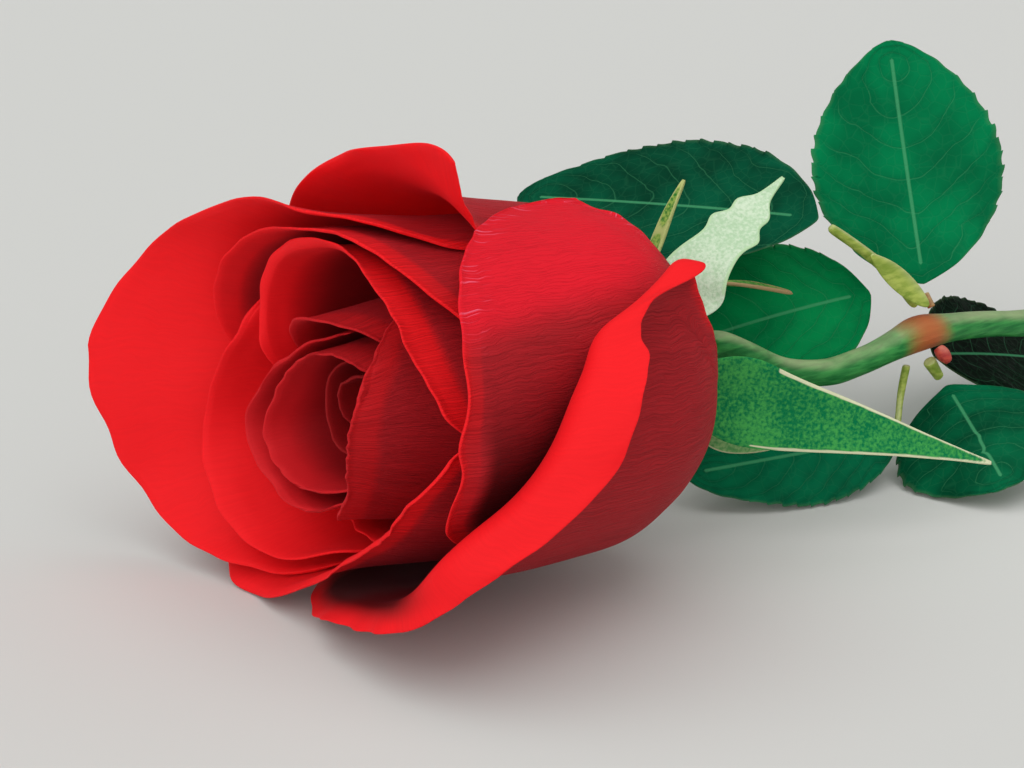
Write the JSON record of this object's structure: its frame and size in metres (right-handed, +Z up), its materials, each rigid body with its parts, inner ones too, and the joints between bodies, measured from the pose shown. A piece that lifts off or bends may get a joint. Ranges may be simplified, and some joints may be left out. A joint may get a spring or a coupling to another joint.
{
  "type": "cut rose",
  "caption": "Cut rose lying on its side: an open layered bloom with sepals, a stem with prickles, and serrated compound leaves.",
  "frame": {"origin": "bottom centre of the whole rose's bounding box, on the surface it lies on", "axes": "+Z up from the surface, +X from the bloom along the stem to its cut end, -X the way the bloom faces"},
  "size_m": [0.234, 0.0776, 0.0589],
  "materials": {
    "petal": "satin, velvety",
    "heart_petal": "satin, velvety",
    "sepal": "matte, downy",
    "hip": "matte",
    "stem": "satin bark",
    "petiole": "satin",
    "leaf": "semi-gloss",
    "prickle": "semi-gloss"
  },
  "bodies": {
    "root": {"hip": "hip", "joint_bud": "prickle", "leaflet_lower_end": "leaf", "leaflet_lower_left": "leaf", "leaflet_lower_right": "leaf", "leaflet_upper_end": "leaf", "leaflet_upper_far": "leaf", "leaflet_upper_near": "leaf", "petal_eye_inner": "heart_petal", "petal_eye_outer": "heart_petal", "petal_heart_1": "heart_petal", "petal_heart_2": "heart_petal", "petal_heart_3": "heart_petal", "petal_heart_4": "heart_petal", "petal_heart_5": "heart_petal", "petal_heart_6": "heart_petal", "petal_inner_near": "petal", "petal_inner_top": "petal", "petal_middle_cup": "petal", "petal_middle_far": "petal", "petal_middle_low": "petal", "petal_middle_top": "petal", "petal_outer_far": "petal", "petal_outer_front": "petal", "petal_outer_low": "petal", "petal_outer_near": "petal", "petal_outer_top": "petal", "petiole_lower": "petiole", "petiole_lower_left": "petiole", "petiole_near": "petiole", "petiole_upper": "petiole", "prickle_1": "prickle", "prickle_2": "prickle", "prickle_3": "prickle", "prickle_4": "prickle", "sepal_far": "sepal", "sepal_far_top": "sepal", "sepal_low": "sepal", "sepal_near": "sepal", "sepal_top": "sepal", "stem": "stem", "stipule_upper": "petiole"}
  },
  "joints": []
}
